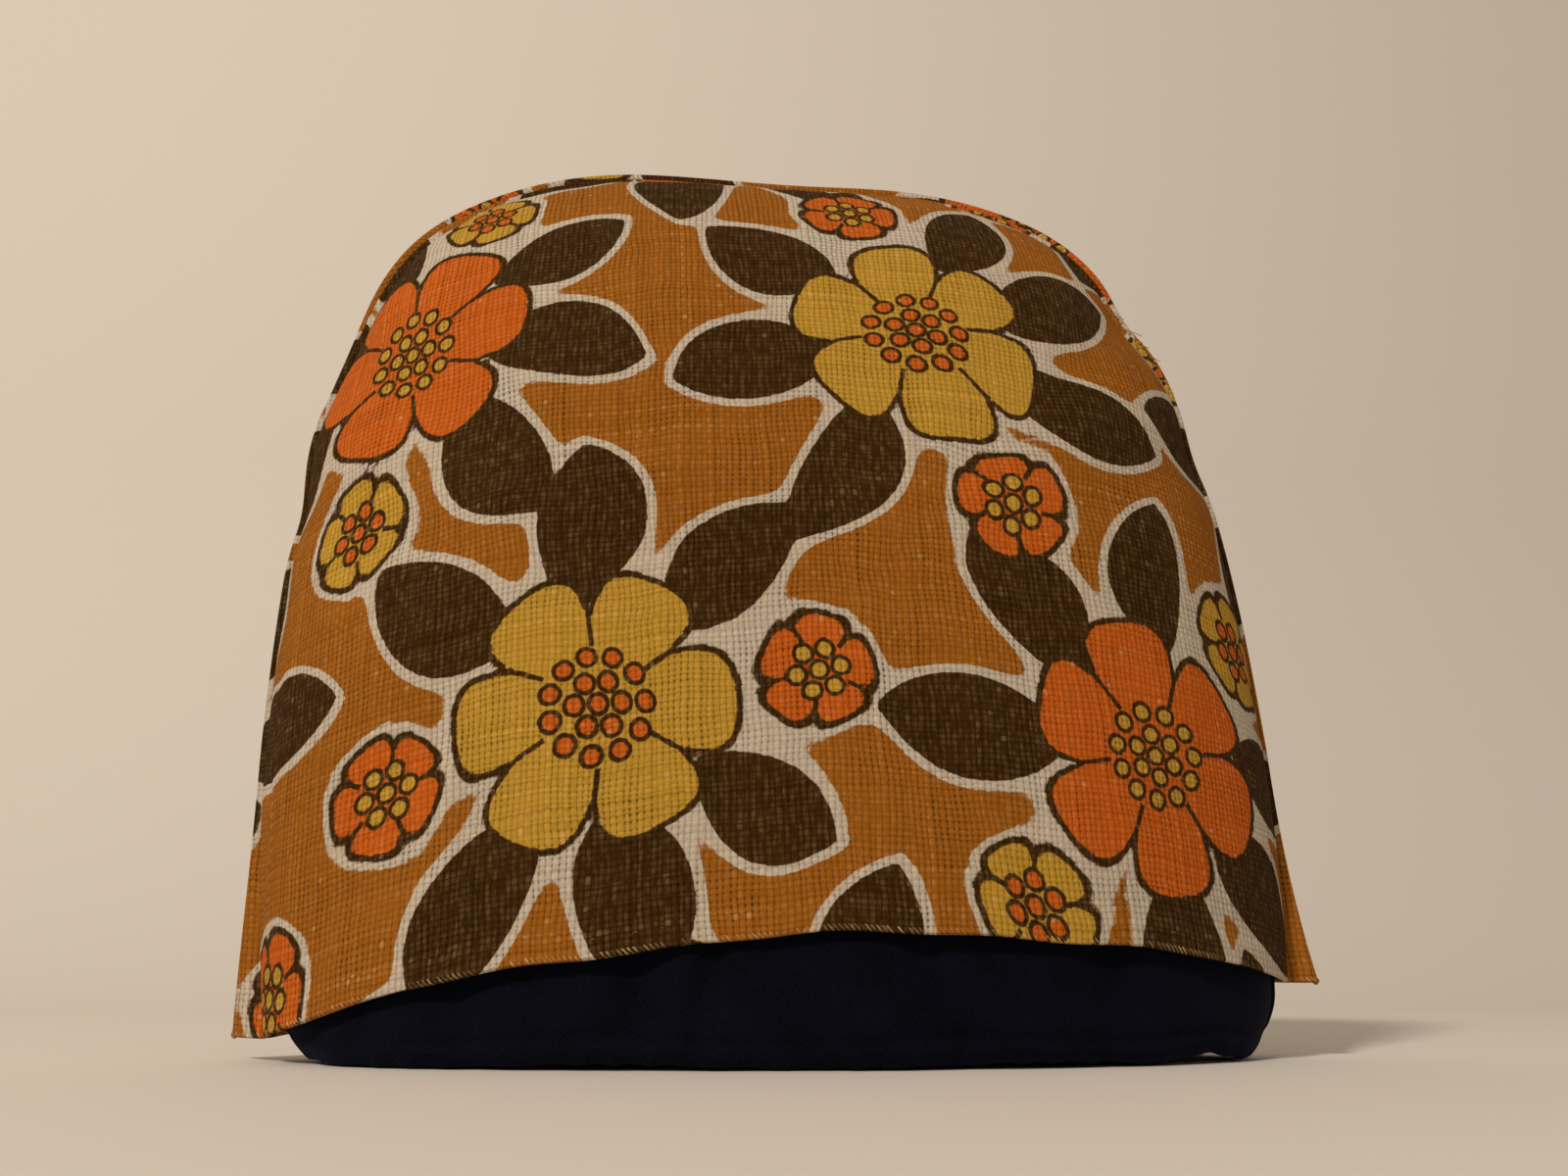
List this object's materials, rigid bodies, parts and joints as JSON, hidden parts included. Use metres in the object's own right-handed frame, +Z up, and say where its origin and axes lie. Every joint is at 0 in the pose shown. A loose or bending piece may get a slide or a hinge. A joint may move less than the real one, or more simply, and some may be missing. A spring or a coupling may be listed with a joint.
{
  "type": "tea cosy",
  "caption": "Padded tea cosy: a D-shaped printed linen cover over a soft navy liner that shows under the hem, hollow and open at the bottom.",
  "frame": {"origin": "the middle of the footprint, on the surface that the cosy stands on", "axes": "+Z up, front panel towards -Y, +X to the right as the front is seen"},
  "size_m": [0.2984, 0.1036, 0.2804],
  "materials": {
    "printed_linen": "coarse plain-weave linen, screen printed in ochre, orange, yellow and dark brown",
    "navy_cotton": "fine matt plain-weave cotton over soft wadding"
  },
  "bodies": {
    "root": {"cover_front": "printed_linen", "cover_back": "printed_linen", "liner_front": "navy_cotton", "liner_back": "navy_cotton"}
  },
  "joints": []
}
